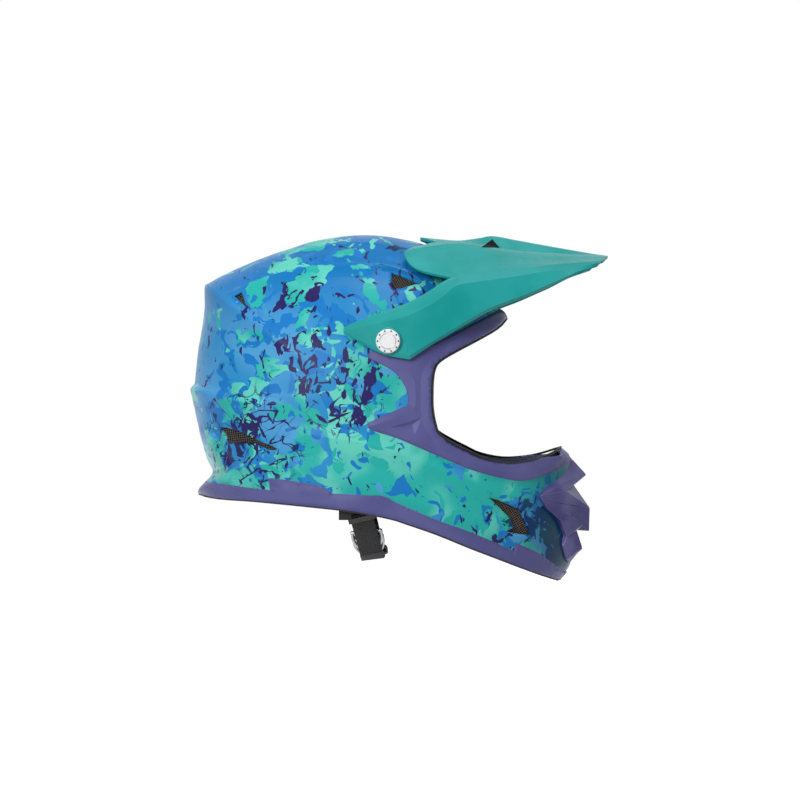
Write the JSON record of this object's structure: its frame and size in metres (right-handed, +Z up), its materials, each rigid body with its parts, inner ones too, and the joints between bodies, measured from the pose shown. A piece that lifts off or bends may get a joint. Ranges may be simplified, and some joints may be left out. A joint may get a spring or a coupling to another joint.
{
  "type": "full-face bicycle helmet",
  "caption": "Full-face bicycle helmet with tilting visor, faceted mouthpiece, vented shell, foam liners, pads and a ringed chin strap.",
  "frame": {"origin": "centre of the wearer's head, on the middle plane", "axes": "+X forward the way the wearer looks, +Y to the wearer's left, +Z up"},
  "size_m": [0.354, 0.2474, 0.2944],
  "materials": {
    "shell_paint": "gloss paint with splatter",
    "violet_plastic": "satin",
    "visor_teal": "satin",
    "trim_rubber": "matt",
    "liner_foam": "beaded foam",
    "pad_fabric": "brushed knit",
    "grille_black": "matt",
    "screw_silver": "satin",
    "insert_brass": "turned",
    "web_black": "woven",
    "ring_steel": "polished"
  },
  "bodies": {
    "helmet": {"outer_shell": "shell_paint", "port_trim": "trim_rubber", "rim_trim": "trim_rubber", "crown_liner": "liner_foam", "chin_liner": "liner_foam", "crown_pad": "pad_fabric", "brow_pad": "pad_fabric", "cheek_pad_right": "pad_fabric", "cheek_pad_left": "pad_fabric", "neck_roll": "pad_fabric", "chin_pad": "pad_fabric", "pad_studs": "insert_brass", "crown_grille_right": "grille_black", "crown_grille_left": "grille_black", "rear_grille_right": "grille_black", "rear_grille_left": "grille_black", "neck_grille_right": "grille_black", "neck_grille_left": "grille_black", "chin_grille_right": "grille_black", "chin_grille_left": "grille_black", "mouthpiece": "violet_plastic", "mouth_grille": "grille_black", "mouthpiece_pins": "grille_black", "friction_washer_right": "trim_rubber", "friction_washer_left": "trim_rubber", "visor_insert_right": "insert_brass", "visor_insert_left": "insert_brass", "strap_anchor_right": "ring_steel", "strap_anchor_left": "ring_steel", "pull_tab": "web_black"},
    "visor": {"visor": "visor_teal"},
    "screw_right": {"visor_screw_right": "screw_silver"},
    "screw_left": {"visor_screw_left": "screw_silver"},
    "strap": {"chin_strap": "web_black", "strap_keeper": "web_black", "strap_snap": "ring_steel", "chin_cushion": "pad_fabric"},
    "ring_upper": {"strap_ring_upper": "ring_steel"},
    "ring_lower": {"strap_ring_lower": "ring_steel"}
  },
  "joints": [
    {"name": "visor_tilt", "type": "hinge", "parent": "helmet", "child": "visor", "pos_m": [0.02, 0, 0.0487], "axis": [0, -1, 0], "range_deg": [-8, 10]},
    {"name": "visor_screw_turn_right", "type": "hinge", "parent": "helmet", "child": "screw_right", "pos_m": [0.02, -0.12, 0.0487], "axis": [0, -1, 0], "continuous": true},
    {"name": "visor_screw_turn_left", "type": "hinge", "parent": "helmet", "child": "screw_left", "pos_m": [0.02, 0.12, 0.0487], "axis": [0, -1, 0], "continuous": true},
    {"name": "strap_swing", "type": "hinge", "parent": "helmet", "child": "strap", "pos_m": [-0.014, 0, -0.052], "axis": [0, -1, 0], "range_deg": [-20, 15]},
    {"name": "ring_upper_turn", "type": "hinge", "parent": "strap", "child": "ring_upper", "pos_m": [0.00181, -0.06499, -0.10843], "axis": [0.9854, -0.1308, 0.109], "range_deg": [-2, 2]},
    {"name": "ring_lower_turn", "type": "hinge", "parent": "strap", "child": "ring_lower", "pos_m": [0.00298, -0.05977, -0.11278], "axis": [0.9854, -0.1308, 0.109], "range_deg": [-2, 2]}
  ]
}
